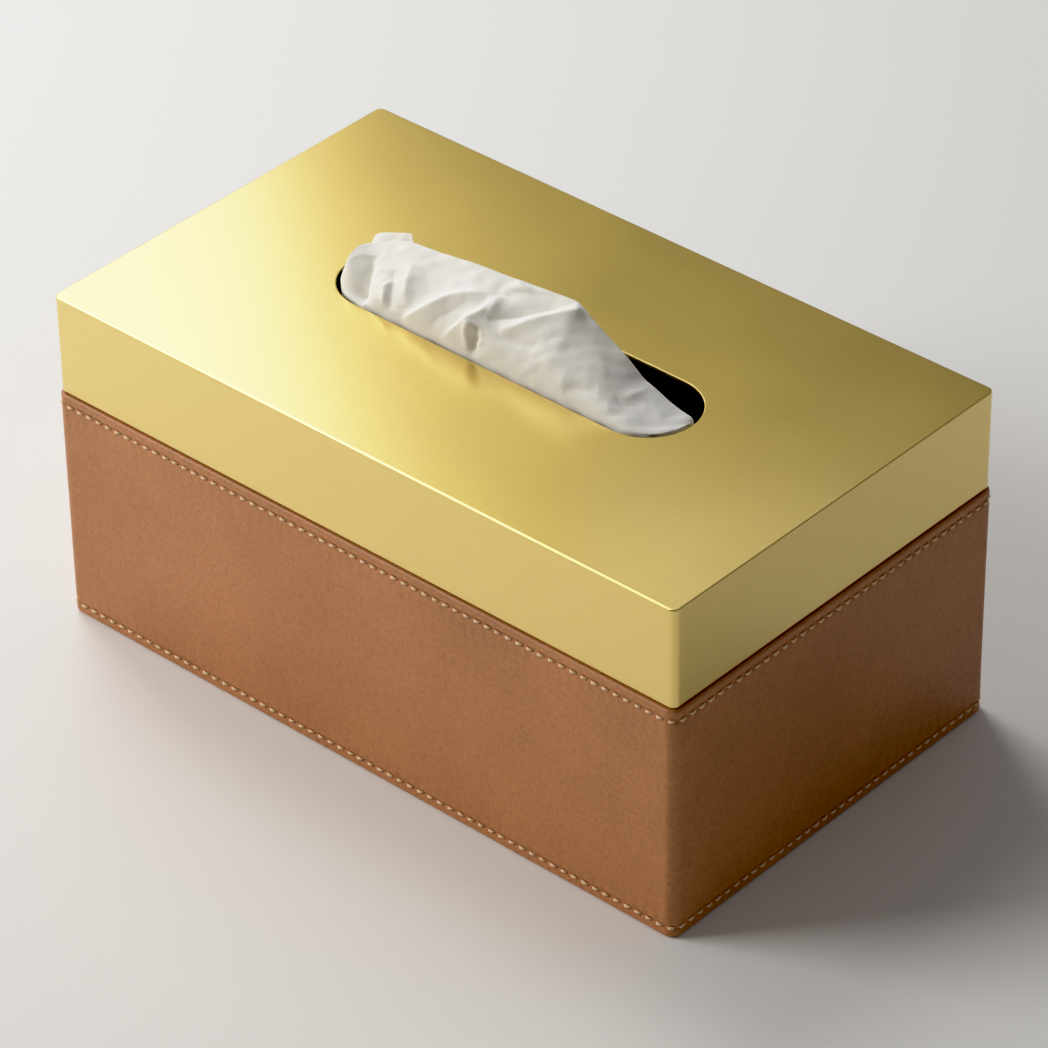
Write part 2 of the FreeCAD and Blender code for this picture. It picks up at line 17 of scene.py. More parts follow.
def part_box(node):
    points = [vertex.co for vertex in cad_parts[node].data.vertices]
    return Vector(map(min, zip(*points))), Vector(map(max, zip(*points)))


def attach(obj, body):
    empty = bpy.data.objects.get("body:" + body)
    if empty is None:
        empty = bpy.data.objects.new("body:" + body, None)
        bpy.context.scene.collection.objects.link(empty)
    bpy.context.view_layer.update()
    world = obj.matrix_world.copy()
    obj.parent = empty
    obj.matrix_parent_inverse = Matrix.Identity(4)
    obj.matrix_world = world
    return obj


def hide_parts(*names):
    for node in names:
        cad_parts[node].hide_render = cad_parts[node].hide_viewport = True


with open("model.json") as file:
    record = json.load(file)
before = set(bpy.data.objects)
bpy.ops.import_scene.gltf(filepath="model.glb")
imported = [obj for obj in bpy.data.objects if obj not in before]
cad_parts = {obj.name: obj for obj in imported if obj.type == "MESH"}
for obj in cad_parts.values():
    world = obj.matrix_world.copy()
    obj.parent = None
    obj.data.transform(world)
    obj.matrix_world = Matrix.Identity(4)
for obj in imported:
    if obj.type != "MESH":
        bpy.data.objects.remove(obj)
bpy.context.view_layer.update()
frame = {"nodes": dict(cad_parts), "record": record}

bl_info = {
    "name": "Leather and Brass Tissue Box",
    "version": (1, 0, 0),
    "blender": (4, 5, 0),
    "location": "View3D > Sidebar > Tissue Box",
    "description": "Builds the visible pieces of a tissue box over its CAD model",
    "category": "Object",
}

MM = 0.001

# The camera's focal length and the frame's width, in pixels of the frame.
FOCAL_PIXELS, FRAME_PIXELS = 5271.5, 1048
SENSOR_MM = 36.0


def linear(hex_colour):
    """sRGB hex such as #C8A050 as linear red, green, blue."""
    channels = np.array([int(hex_colour[i:i + 2], 16) / 255 for i in (1, 3, 5)])
    low, high = channels / 12.92, ((channels + 0.055) / 1.055) ** 2.4
    return tuple(float(c) for c in np.where(channels <= 0.04045, low, high))


def colour_property(name, hex_colour, description):
    return FloatVectorProperty(name=name, description=description, subtype="COLOR", size=3,
                               min=0.0, max=1.0, default=linear(hex_colour))


def length_property(name, millimetres, description):
    return FloatProperty(name=name, description=description, default=millimetres * MM,
                         min=0.0, unit="LENGTH", subtype="DISTANCE")


def angle_property(name, degrees, description):
    return FloatProperty(name=name, description=description, default=math.radians(degrees),
                         subtype="ANGLE", unit="ROTATION")


# ---- Settings ----

class LeatherSettings(bpy.types.PropertyGroup):
    colour: colour_property("Leather", "#BC7F50", "Saddle leather, where light falls on it")
    stitch_pitch: length_property("Stitch pitch", 3.95, "From one stitch to the next")
    stitch_length: length_property("Stitch length", 2.15, "Thread that shows between two holes")
    thread: length_property("Thread", 0.95, "Thickness of the waxed thread")
    thread_colour: colour_property("Thread", "#FCD6AE", "Waxed linen thread")
    top_seam: length_property("Upper seam", 76.4, "Height of the upper row of stitches")
    bottom_seam: length_property("Lower seam", 3.7, "Height of the lower row of stitches")
    channel_depth: length_property("Channel depth", 0.4, "Channel that a row of stitches lies in")
    grain: length_property("Grain", 1.1, "Distance between two pebbles of the grain")


class LidSettings(bpy.types.PropertyGroup):
    colour: colour_property("Brass", "#F0D169", "Brass, satin finished and lacquered")
    roughness: FloatProperty(name="Roughness", description="How far the finish spreads light",
                             default=0.31, min=0.0, max=1.0, subtype="FACTOR")
    sheet: length_property("Sheet", 1.2, "Thickness of the brass")
    corner: length_property("Corner", 2.2, "Radius of the upright corners")
    edge: length_property("Edge", 0.45, "Radius between the top and the sides")
    slot_length: length_property("Slot length", 131.0, "Tissue slot, end to end")
    slot_width: length_property("Slot width", 32.0, "Tissue slot, across")
    slot_edge: length_property("Slot edge", 0.14, "Radius of the broken edge round the slot")
    dish: length_property("Dish", 0.12, "How far the middle of the top lies below its edges")


class TissueSettings(bpy.types.PropertyGroup):
    colour: colour_property("Tissue", "#FBF8F1", "Facial tissue")
    thickness: length_property("Thickness", 0.2, "Two plies, loosely together")
    relief: FloatProperty(name="Relief", description="Strength of the folds and creases",
                          default=1.0, min=0.0, max=2.0, subtype="FACTOR")
    layers: IntProperty(name="Layers", description="Folded leaves to be seen at the stack's sides",
                        default=64, min=2)


class InsideSettings(bpy.types.PropertyGroup):
    suede: colour_property("Suede", "#3B342E", "Suede on the boards inside")
    felt: colour_property("Felt", "#2A2826", "Felt under the box and in the lid")
    board: colour_property("Fibreboard", "#A98761", "Bare board inside the leather")


class StageSettings(bpy.types.PropertyGroup):
    floor: colour_property("Floor", "#F8F7F5", "Plain pale floor")
    azimuth: angle_property("Azimuth", 42.2, "Camera's direction round the box")
    elevation: angle_property("Elevation", 35.54, "Camera's height above the level")
    roll: angle_property("Roll", -0.839, "Camera's tilt about its own line of sight")
    distance: length_property("Distance", 1580.1, "Camera to the origin, along its line of sight")
    lens: FloatProperty(name="Lens", description="Focal length in mm on a 36 mm sensor",
                        default=FOCAL_PIXELS / FRAME_PIXELS * SENSOR_MM, min=1.0)


# ---- Making meshes ----

def grid_faces(rows, columns, close_rows=False, close_columns=False):
    """Faces of a grid of points as four point numbers each.

    A face takes a point, the next along its row, and the two above those. Its front is the
    side from which columns run to the right while rows run up.
    """
    row = np.arange(rows if close_rows else rows - 1)
    column = np.arange(columns if close_columns else columns - 1)
    row, column = (a.ravel() for a in np.meshgrid(row, column, indexing="ij"))
    next_row, next_column = (row + 1) % rows, (column + 1) % columns
    return np.stack((row * columns + column, row * columns + next_column,
                     next_row * columns + next_column, next_row * columns + column), axis=1)


def link_object(name, data):
    """New object with its data, in the scene."""
    thing = bpy.data.objects.new(name, data)
    bpy.context.scene.collection.objects.link(thing)
    return thing


def new_piece(name, points, faces, material, body, stands_for):
    """Mesh object from arrays of points and four-sided faces.

    It rides on a body, takes one material and stands for a CAD node, which it hides.
    """
    mesh = bpy.data.meshes.new(name)
    points = np.asarray(points, np.float32).reshape(-1, 3)
    mesh.vertices.add(len(points))
    mesh.vertices.foreach_set("co", points.ravel())
    mesh.loops.add(faces.size)
    mesh.loops.foreach_set("vertex_index", faces.ravel().astype(np.int32))
    mesh.polygons.add(len(faces))
    mesh.polygons.foreach_set("loop_start", np.arange(0, faces.size, 4, dtype=np.int32))
    mesh.update(calc_edges=True)
    mesh.validate()
    mesh.shade_smooth()
    mesh.materials.append(material)
    piece = link_object(name, mesh)
    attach(piece, body)
    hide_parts(stands_for)
    return piece


def rounded_path(length, width, radius, steps):
    """Way round a rounded rectangle, from the front left corner, anticlockwise from above.

    steps is how many points go on a long side, on a short side and round a corner. Each point
    is a centre, which is the nearest point of the rectangle that the corners' centres span,
    plus an outward unit direction times the radius. Gives the centres and the directions.
    """
    reach = (length / 2 - radius, width / 2 - radius)
    long_side, short_side, corner = (np.arange(n) / n for n in steps)
    ends = np.array(((-1, -1), (1, -1), (1, 1), (-1, 1))) * reach
    centres, outward = [], []
    for quarter in range(4):
        turn = math.radians(90 * quarter - 90)
        along = long_side if quarter % 2 == 0 else short_side
        start, finish = ends[quarter], ends[(quarter + 1) % 4]
        centres.append(start + along[:, None] * (finish - start))
        outward.append(np.tile((math.cos(turn), math.sin(turn)), (len(along), 1)))
        angles = turn + corner * math.pi / 2
        centres.append(np.tile(finish, (len(angles), 1)))
        outward.append(np.stack((np.cos(angles), np.sin(angles)), axis=1))
    return np.concatenate(centres), np.concatenate(outward)


def at_heights(flat, heights):
    """Rings of points x, y raised to one height each."""
    upright = np.broadcast_to(np.asarray(heights)[:, None, None], flat.shape[:2] + (1,))
    return np.concatenate((flat, upright), axis=2)


def path_rings(path, radius, offsets, heights, least_radius):
    """One ring per profile point: the path moved outwards by an offset, at a height.

    Where a corner's radius plus the offset would fall below the least radius, the corner keeps
    that radius and the centres draw in instead, so no ring crosses itself.
    """
    centres, outward = path
    grown = radius + np.asarray(offsets)
    held = np.maximum(grown, least_radius)
    reach = np.abs(centres).max(axis=0)
    shrink = 1 - (held - grown)[:, None] / reach[None, :]
    flat = centres[None] * shrink[:, None, :] + outward[None] * held[:, None, None]
    return at_heights(flat, heights)


def quarter_turn(centre, radius, start_degrees, steps):
    """Profile points of a quarter circle, anticlockwise, both ends included."""
    angles = np.radians(start_degrees + np.linspace(0, 90, steps + 1))
    return np.array(centre) + radius * np.stack((np.cos(angles), np.sin(angles)), axis=1)


def bell(distance, width):
    """Bell curve: 1 at no distance, about 0.6 at the width."""
    return np.exp(-0.5 * (distance / width) ** 2)


def plane_waves(rng, count, least, most):
    """Directions of plane waves, as rows, each as long as its own seeded rate."""
    directions = rng.normal(size=(count, 3))
    directions /= np.linalg.norm(directions, axis=1, keepdims=True)
    return directions * rng.uniform(least, most, (count, 1))


def smooth_noise(points, size, seed):
    """Gentle unevenness, mostly from -1 to 1: nine seeded plane waves, added up."""
    count, rng = 9, np.random.default_rng(seed)
    rates = plane_waves(rng, count, 0.6, 1.6) * (2 * math.pi / size)
    phases = rng.uniform(0, 2 * math.pi, count)
    return np.sin(points @ rates.T + phases).sum(axis=-1) / (count / 2)


# ---- Making materials ----

def feed(node, inputs):
    """Give each named or numbered input of a node a value or a link."""
    for name, source in inputs.items():
        if isinstance(source, bpy.types.NodeSocket):
            node.id_data.links.new(source, node.inputs[name])
        else:
            node.inputs[name].default_value = source


def add_node(tree, kind, inputs=None, **settings):
    """Add a node, set its properties and feed its inputs."""
    node = tree.nodes.new(kind)
    for name, setting in settings.items():
        setattr(node, name, setting)
    feed(node, inputs or {})
    return node


def new_material(name, colour, roughness, inputs):
    """Material with one Principled shader.

    Gives the material, the function that adds a node to it, the shader and Object coordinates.
    """
    material = bpy.data.materials.new(name)
    material.use_nodes = True
    add = partial(add_node, material.node_tree)
    shader = material.node_tree.nodes["Principled BSDF"]
    feed(shader, {"Base Color": (*colour, 1.0), "Roughness": roughness, **inputs})
    return material, add, shader, add("ShaderNodeTexCoord").outputs["Object"]


def scaled(colour, factor):
    """Darker or lighter tone of a colour, as red, green, blue and an alpha of 1."""
    return (*(min(1.0, c * factor) for c in colour), 1.0)


def tone_and_relief(add, shader, colour, factor, tones, relief):
    """Colour a shader from a dark tone to a light one by a factor, and give it a relief."""
    dark, light = (scaled(colour, tone) for tone in tones)
    tone = add("ShaderNodeMix", {0: factor, 6: dark, 7: light}, data_type="RGBA")
    bump = add("ShaderNodeBump", relief)
    feed(shader, {"Base Color": tone.outputs[2], "Normal": bump.outputs[0]})


def leather_material(settings):
    """Vegetable-tanned saddle leather, pared and wrapped, with a pressed pebble grain.

    The grain breaks up a broad soft shine; the valleys between the pebbles are painted darker, as
    painted shade, and the hide varies a little from place to place.
    """
    colour = settings.colour
    material, add, shader, place = new_material("saddle_leather_grained", colour, 0.5,
                                                {"Specular IOR Level": 0.6})
    warp = add("ShaderNodeTexNoise", {"Vector": place, "Scale": 1 / (3 * MM), "Detail": 2.0})
    spread = add("ShaderNodeVectorMath", {0: warp.outputs["Color"], 1: (0.5, 0.5, 0.5)},
                 operation="SUBTRACT")
    nudge = add("ShaderNodeVectorMath", {0: spread.outputs[0], "Scale": 1.6 * MM},
                operation="SCALE")
    grain_place = add("ShaderNodeVectorMath", {0: place, 1: nudge.outputs[0]})
    pebble = add("ShaderNodeTexVoronoi",
                 {"Vector": grain_place.outputs[0], "Scale": 1 / settings.grain,
                  "Randomness": 1.0}, feature="SMOOTH_F1").outputs["Distance"]
    pore = add("ShaderNodeTexNoise", {"Vector": place, "Scale": 1 / (0.5 * MM), "Detail": 3.0,
                                      "Roughness": 0.6}).outputs["Fac"]
    hide = add("ShaderNodeTexNoise", {"Vector": place, "Scale": 1 / (45 * MM), "Detail": 4.0,
                                      "Roughness": 0.6})
    height = add("ShaderNodeMath", {0: pore, 1: 0.35, 2: pebble}, operation="MULTIPLY_ADD")
    # Painted shade: the grain's valleys take a darker tone than its crests.
    painted_valley_shade = add("ShaderNodeMapRange", {"Value": pebble, "From Min": 0.15, "From Max": 0.75,
                                        "To Min": 1.0, "To Max": 0.0})
    hue = add("ShaderNodeMapRange",
              {"Value": hide.outputs["Fac"], "From Min": 0.3, "From Max": 0.7}).outputs[0]
    # Two tones: the darker one is painted shade for the valleys, the lighter one is for the
    # crests.
    valley_shade_tone, raised = (add("ShaderNodeMix", {0: hue, 6: scaled(colour, dark),
                                          7: scaled(colour, light)},
                        data_type="RGBA").outputs[2]
                    for dark, light in ((0.74, 0.9), (0.92, 1.12)))
    grained = add("ShaderNodeMix", {0: painted_valley_shade.outputs[0], 6: valley_shade_tone, 7: raised},
                  data_type="RGBA")
    shine = add("ShaderNodeMapRange", {"Value": pore, "From Min": 0.3, "From Max": 0.7,
                                       "To Min": 0.38, "To Max": 0.52})
    bump = add("ShaderNodeBump", {"Height": height.outputs[0], "Strength": 0.55,
                                  "Distance": 0.12 * MM}, invert=True)
    feed(shader, {"Base Color": grained.outputs[2], "Roughness": shine.outputs[0],
                  "Normal": bump.outputs[0]})
    return material


def brass_material(settings):
    """Brass sheet, satin finished along its length and lacquered.

    The satin finish spreads every reflection into a soft gradient, with a faint streak along X;
    handling leaves slightly duller clouds. Streaks of a real finish are about 0.1 mm wide and
    are drawn 0.5 mm wide, because finer ones don't show.
    """
    colour, roughness, uneven = settings.colour, settings.roughness, 0.03
    material, add, shader, place = new_material(
        "satin_brass_lacquered", colour, roughness,
        {"Metallic": 1.0, "Coat Weight": 1.0, "Coat Roughness": 0.17, "Coat IOR": 2.1})
    stretch = add("ShaderNodeMapping", {"Vector": place, "Scale": (0.03, 1.0, 1.0)})
    streak = add("ShaderNodeTexNoise", {"Vector": stretch.outputs[0], "Scale": 1 / (0.5 * MM),
                                        "Detail": 2.0}).outputs["Fac"]
    cloud = add("ShaderNodeTexNoise", {"Vector": place, "Scale": 1 / (60 * MM), "Detail": 3.0,
                                       "Roughness": 0.6})
    shine = add("ShaderNodeMapRange",
                {"Value": cloud.outputs["Fac"], "From Min": 0.2, "From Max": 0.8,
                 "To Min": roughness - uneven, "To Max": roughness + uneven})
    feed(shader, {"Roughness": shine.outputs[0]})
    tone_and_relief(add, shader, colour, streak, (0.95, 1.03),
                    {"Height": streak, "Strength": 0.3, "Distance": 0.02 * MM})
    return material


def tissue_material(settings, name):
    """Creped tissue paper: matt, soft white, letting a little light through.

    Creping leaves fine wrinkles about 0.3 mm apart, drawn 0.8 mm apart so that they show.
    """
    colour = settings.colour
    material, add, shader, place = new_material(
        name, colour, 0.92,
        {"Specular IOR Level": 0.15, "Sheen Weight": 0.15, "Sheen Roughness": 0.6,
         "Subsurface Weight": 0.25, "Subsurface Radius": (1.0, 0.95, 0.9),
         "Subsurface Scale": 0.6 * MM})
    crepe = add("ShaderNodeTexNoise", {"Vector": place, "Scale": 1 / (0.8 * MM), "Detail": 3.0,
                                       "Roughness": 0.6}).outputs["Fac"]
    crumpled = add("ShaderNodeTexVoronoi", {"Vector": place, "Scale": 1 / (7 * MM)},
                   feature="F1")
    fine = add("ShaderNodeBump", {"Height": crepe, "Strength": 0.25, "Distance": 0.15 * MM})
    tone_and_relief(add, shader, colour, crepe, (0.93, 1.02),
                    {"Height": crumpled.outputs["Distance"], "Normal": fine.outputs[0],
                     "Strength": 0.35, "Distance": 0.5 * MM})
    return material


def napped_material(name, colour, pile):
    """Napped surface, such as suede or felt: matt and dark, with brushed pale patches."""
    material, add, shader, place = new_material(
        name, colour, 0.95,
        {"Specular IOR Level": 0.2, "Sheen Weight": 0.3, "Sheen Roughness": 0.5})
    nap = add("ShaderNodeTexNoise", {"Vector": place, "Scale": 1 / pile, "Detail": 4.0,
                                     "Roughness": 0.7}).outputs["Fac"]
    patch = add("ShaderNodeTexNoise", {"Vector": place, "Scale": 1 / (20 * MM), "Detail": 3.0})
    brushed = add("ShaderNodeMath", {0: nap, 1: patch.outputs["Fac"]}, operation="MULTIPLY")
    spread = add("ShaderNodeMapRange",
                 {"Value": brushed.outputs[0], "From Min": 0.15, "From Max": 0.4})
    tone_and_relief(add, shader, colour, spread.outputs[0], (0.6, 1.7),
                    {"Height": nap, "Strength": 0.6, "Distance": 0.3 * MM})
    return material


def suede_material(settings):
    """Pigskin suede, brushed: matt and dark, with paler patches where the nap lies over."""
    return napped_material("pigskin_suede_lining", settings.suede, 0.5 * MM)


def felt_material(settings):
    """Pressed wool felt: matt and nearly black, with a coarser pile than the suede's."""
    return napped_material("pressed_wool_felt", settings.felt, 0.9 * MM)


def fibrous_material(name, colour, roughness, specular, fibre, tones, strength):
    """Matt surface of fine fibres, some darker and some lighter, such as thread or bare board."""
    material, add, shader, place = new_material(name, colour, roughness,
                                                {"Specular IOR Level": specular})
    fibres = add("ShaderNodeTexNoise", {"Vector": place, **fibre}).outputs["Fac"]
    tone_and_relief(add, shader, colour, fibres, tones,
                    {"Height": fibres, "Strength": strength, "Distance": 0.1 * MM})
    return material


def thread_material(settings):
    """Waxed linen thread, spun from two plies: matt, cream, with fine dark lines of fibre."""
    return fibrous_material("waxed_linen_thread", settings.thread_colour, 0.6, 0.3,
                            {"Scale": 1 / (0.4 * MM), "Detail": 3.0}, (0.72, 1.1), 0.5)


def fibreboard_material(settings):
    """Medium-density fibreboard, sawn: matt tan with fine darker fibres."""
    return fibrous_material("sawn_fibreboard", settings.board, 0.85, 0.25,
                            {"Scale": 1 / (0.9 * MM), "Detail": 5.0, "Roughness": 0.7},
                            (0.7, 1.15), 0.4)


# ---- Leather ----

LEATHER_CORNER = 3.7 * MM
LEATHER_LEAST_CORNER = 0.5 * MM


def seam_run(settings):
    """Length of the way round the leather, and how many stitches fit it."""
    low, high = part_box("leather_sleeve")
    length, width = high.x - low.x, high.y - low.y
    run = 2 * (length + width) - (8 - 2 * math.pi) * LEATHER_CORNER
    return length, width, run, round(run / settings.stitch_pitch)


def leather_profile(settings):
    """Profile of the wrapped leather as offsets from its outer face and heights.

    Up the outside from the rolled lower edge to the rolled upper edge, over the shoulder, round
    its pared edge, down behind the wall and along both faces of the hem to close the loop.
    """
    low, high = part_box("leather_sleeve")
    roll, wall, pared, shoulder, hem = (x * MM for x in (0.9, 1.5, 0.9, 6.5, 9.0))
    foot, top, straight = low.z, high.z, roll + 0.4 * MM
    bottom, upper = settings.bottom_seam, settings.top_seam
    near = np.linspace(-1.15 * MM, 1.15 * MM, 11)
    middle = np.linspace(bottom + 2 * MM, upper - 2 * MM, 16)
    upright = np.concatenate(([foot + straight], bottom + near, middle, upper + near,
                              [top - straight]))
    wall_up = np.stack((np.zeros(len(upright)), upright), axis=1)
    across = np.array(((-2.2, 0), (-3.5, 0), (-5.0, 0), (-6.1, 0), (-6.5, -0.3))) * MM
    across[:, 1] += top
    inside = np.array((
        (-shoulder, top - pared), (-wall - 2 * MM, top - pared), (-wall, top - pared),
        (-wall, foot + pared + 30 * MM), (-wall, foot + pared), (-wall - 3 * MM, foot + pared),
        (-hem, foot + pared), (-hem, foot + 0.2 * MM), (-hem + 0.3 * MM, foot),
        (-hem / 2, foot), (-roll - 0.8 * MM, foot)))
    return np.concatenate((
        quarter_turn((-roll, foot + roll), roll, -90, 5), wall_up,
        quarter_turn((-roll, top - roll), roll, 0, 6), across, inside))


def leather_points(settings):
    """Leather as its profile carried round the box, with the marks that sewing leaves.

    Each point moves inwards by the depth of its seam's channel, a bell curve across the seam;
    by a needle hole at each end of a stitch, a narrow bell curve both ways; and outwards by a
    slight swell between holes. Seeded waves add the hide's own unevenness, and a fine groove
    down the middle of the back is where the two ends meet.
    """
    channel, channel_width = 0.8 * settings.channel_depth, 0.55 * MM
    hole, hole_width = 0.35 * MM, 0.4 * MM
    swell, swell_off, swell_width = 0.1 * MM, 1.5 * MM, 0.6 * MM
    uneven, uneven_size = 0.1 * MM, 38 * MM
    groove, groove_width = 0.22 * MM, 0.35 * MM
    moving_depth = 0.7 * MM
    points_per_stitch, points_per_corner = 6, 9

    length, width, run, stitches = seam_run(settings)
    spacing = run / (stitches * points_per_stitch)
    steps = (round((length - 2 * LEATHER_CORNER) / spacing),
             round((width - 2 * LEATHER_CORNER) / spacing), points_per_corner)
    path = rounded_path(length, width, LEATHER_CORNER, steps)
    offsets, heights = leather_profile(settings).T
    points = path_rings(path, LEATHER_CORNER, offsets, heights, LEATHER_LEAST_CORNER)
    outward = path[1]
    along = way_round(path)
    outer = np.clip(1 + offsets / moving_depth, 0, 1)[:, None]
    move = np.zeros((len(offsets), len(outward)))
    phase = (along / run * stitches) % 1 - 0.5
    to_hole = np.abs(phase) * run / stitches - settings.stitch_length / 2
    for seam in (settings.bottom_seam, settings.top_seam):
        off = (heights - seam)[:, None]
        move -= channel * bell(off, channel_width)
        move -= hole * bell(off, hole_width) * bell(to_hole, hole_width)
        move += swell * bell(np.abs(off) - swell_off, swell_width) \
            * np.cos(2 * math.pi * (phase + 0.5))
    move -= uneven * (0.5 + 0.5 * smooth_noise(points, uneven_size, 3))
    move -= groove * bell(along - back_middle(path), groove_width)
    points[:, :, :2] += (outer * move)[:, :, None] * outward[None]
    return points


def way_round(path):
    """How far each point of a leather path is from its start, along the outer face."""
    centres, outward = path
    flat = centres + outward * LEATHER_CORNER
    steps = np.linalg.norm(np.diff(flat, axis=0), axis=1)
    return np.concatenate(([0.0], np.cumsum(steps)))


def back_middle(path):
    """How far round the path the middle of the back is."""
    centres, outward = path
    on_back = outward[:, 1] > 0.99
    nearest = np.argmin(np.abs(centres[:, 0]) + np.where(on_back, 0, 1))
    return way_round(path)[nearest]


class TISSUEBOX_OT_leather(bpy.types.Operator):
    """Wrap the lower box in grained leather"""
    bl_idname = "tissuebox.leather"
    bl_label = "Leather Wrap"

    def execute(self, context):
        settings = context.scene.leather_settings
        points = leather_points(settings)
        new_piece("leather_wrap", points, grid_faces(*points.shape[:2], True, True),
                  leather_material(settings), "box", "leather_sleeve")
        return {"FINISHED"}


def stitch_row(settings, seam, seed):
    """Every stitch of one seam, as one array of points and its faces.

    A stitch is a ring of eight points carried over a low arch from one needle hole to the next.
    Its radius swells and thins twice round the ring and turns along the stitch, as two plies
    do; it thins and dives at both ends. Each one is set, turned and sized a little differently.
    """
    rings, around = 7, 8
    tuck, sink, dive = 0.15 * MM, 0.02 * MM, 0.6 * MM
    ply, turn, flatness = 0.13, 1.9, 0.8

    length, width, run, stitches = seam_run(settings)
    path = rounded_path(length, width, LEATHER_CORNER, (700, 400, 24))
    centres, outward = path
    along = way_round(path)
    rng = np.random.default_rng(seed)
    middle = (np.arange(stitches) + 0.5) * run / stitches + rng.normal(0, 0.07 * MM, stitches)
    slant = np.radians(rng.normal(5.0, 2.5, stitches))[:, None]
    size = rng.normal(1.0, 0.04, stitches)[:, None]
    reach = np.linspace(-1, 1, rings)
    angle = np.arange(around) * 2 * math.pi / around
    half = settings.stitch_length / 2 + tuck
    run_along = middle[:, None] + reach * half * size * np.cos(slant)
    rise = reach * half * np.sin(slant)
    foot_x, foot_y, out_x, out_y = (
        np.interp(run_along, along, column)[:, :, None]
        for column in (*(centres + outward * LEATHER_CORNER).T, *outward.T))
    scale = np.hypot(out_x, out_y)
    taper = np.sqrt(np.clip(1.06 - reach ** 4, 0, 1))[:, None]
    twist = 1 + ply * np.cos(2 * (angle - turn * reach[:, None]))
    radius = settings.thread / 2 * size[:, :, None] * taper * twist
    out = (sink - dive * reach ** 4)[:, None] + radius * flatness * np.cos(angle)
    up = rise[:, :, None] + radius * np.sin(angle)
    points = np.stack((foot_x + out * out_x / scale, foot_y + out * out_y / scale, seam + up),
                      axis=-1)
    tube = grid_faces(rings, around, close_columns=True)[:, ::-1]
    start = np.array(((0, 1, 2, 3), (0, 3, 4, 7), (4, 5, 6, 7)))
    faces = np.concatenate((tube, start, start[:, ::-1] + (rings - 1) * around))
    every = (np.arange(stitches) * rings * around)[:, None, None] + faces
    return points.reshape(-1, 3), every.reshape(-1, 4)


class TISSUEBOX_OT_stitches(bpy.types.Operator):
    """Sew both rows of stitches round the leather"""
    bl_idname = "tissuebox.stitches"
    bl_label = "Stitches"

    def execute(self, context):
        settings = context.scene.leather_settings
        material = thread_material(settings)
        for name, seam, node, seed in (
                ("top_stitches", settings.top_seam, "top_seam_thread", 11),
                ("bottom_stitches", settings.bottom_seam, "bottom_seam_thread", 12)):
            points, faces = stitch_row(settings, seam, seed)
            new_piece(name, points, faces, material, "box", node)
        return {"FINISHED"}


# ---- Lid ----

def slot_path(settings, steps):
    """Way round the slot with as many points as the lid's path, matched to it side by side.

    The long sides match the lid's long sides, and each round end matches a short side with its
    two corners.
    """
    long_side, end = steps[0], steps[1] + 2 * steps[2]
    reach = (settings.slot_length - settings.slot_width) / 2
    along = np.arange(long_side) / long_side * 2 * reach - reach
    angles = np.arange(end) / end * math.pi - math.pi / 2
    centres, outward = [], []
    for turn in (1, -1):
        centres.append(turn * np.stack((along, np.zeros(long_side)), axis=1))
        outward.append(np.tile((0.0, -1.0 * turn), (long_side, 1)))
        centres.append(np.tile((turn * reach, 0.0), (end, 1)))
        outward.append(turn * np.stack((np.cos(angles), np.sin(angles)), axis=1))
    return np.concatenate(centres), np.concatenate(outward)


def slot_rings(path, settings, offsets, heights):
    """One ring per profile point: the slot's edge moved into the metal, at a height."""
    centres, outward = path
    radius = settings.slot_width / 2 + np.asarray(offsets)
    return at_heights(centres[None] + outward[None] * radius[:, None, None], heights)


def lid_points(settings):
    """Lid as rings: up the outside, over the edge, in to the slot, through it and back inside.

    Between the outer ring and the slot's ring, and again underneath, points lie on straight
    lines between matched points. The top sinks by the dish times a parabola along and across.
    """
    low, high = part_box("lid_shell")
    length, width, top, rim = high.x - low.x, high.y - low.y, high.z, low.z
    steps, plate_rings, ceiling_rings = (96, 56, 10), 12, 6
    path = rounded_path(length, width, settings.corner, steps)
    slot = slot_path(settings, steps)
    sheet, edge, slot_edge = settings.sheet, settings.edge, settings.slot_edge
    rim_edge, hold, least_corner = 0.25 * MM, 0.35 * MM, 0.3 * MM
    waist, inside_edge, slot_burr = rim + 12 * MM, 0.2 * MM, 0.15 * MM

    def rings(profile):
        return path_rings(path, settings.corner, *np.transpose(profile), least_corner)

    def between(first, last, shares):
        return first * (1 - shares[:, None, None]) + last * shares[:, None, None]

    outside = rings(np.concatenate((
        quarter_turn((-rim_edge, rim + rim_edge), rim_edge, -90, 3),
        ((0, rim + rim_edge + hold), (0, waist), (0, top - edge - hold)),
        quarter_turn((-edge, top - edge), edge, 0, 8))))
    plate_start = rings([(-edge - hold, top)])
    bend = quarter_turn((slot_edge, top - slot_edge), slot_edge, 90, 4)
    mouth = slot_rings(slot, settings, [slot_edge + hold, *bend[:, 0]], [top, *bend[:, 1]])
    under = slot_rings(slot, settings, [0, slot_burr, 1.0 * MM],
                       [top - sheet + slot_burr, top - sheet, top - sheet])
    inner = rings([(-sheet - 1.5 * MM, top - sheet), (-sheet - inside_edge, top - sheet),
                   (-sheet, top - sheet - inside_edge), (-sheet, waist),
                   (-sheet, rim + rim_edge), (-sheet + rim_edge, rim)])
    plate = between(plate_start, mouth[:1], np.linspace(0, 1, plate_rings))
    ceiling = between(under[-1:], inner[:1], np.linspace(0, 1, ceiling_rings)[1:-1])
    points = np.concatenate((outside, plate, mouth[1:], under, ceiling, inner))
    sag = (1 - (2 * points[..., 0] / length) ** 2) * (1 - (2 * points[..., 1] / width) ** 2)
    topmost = np.clip((points[..., 2] - (top - 2 * sheet)) / sheet, 0, 1)
    points[..., 2] -= settings.dish * np.clip(sag, 0, 1) * topmost
    return points


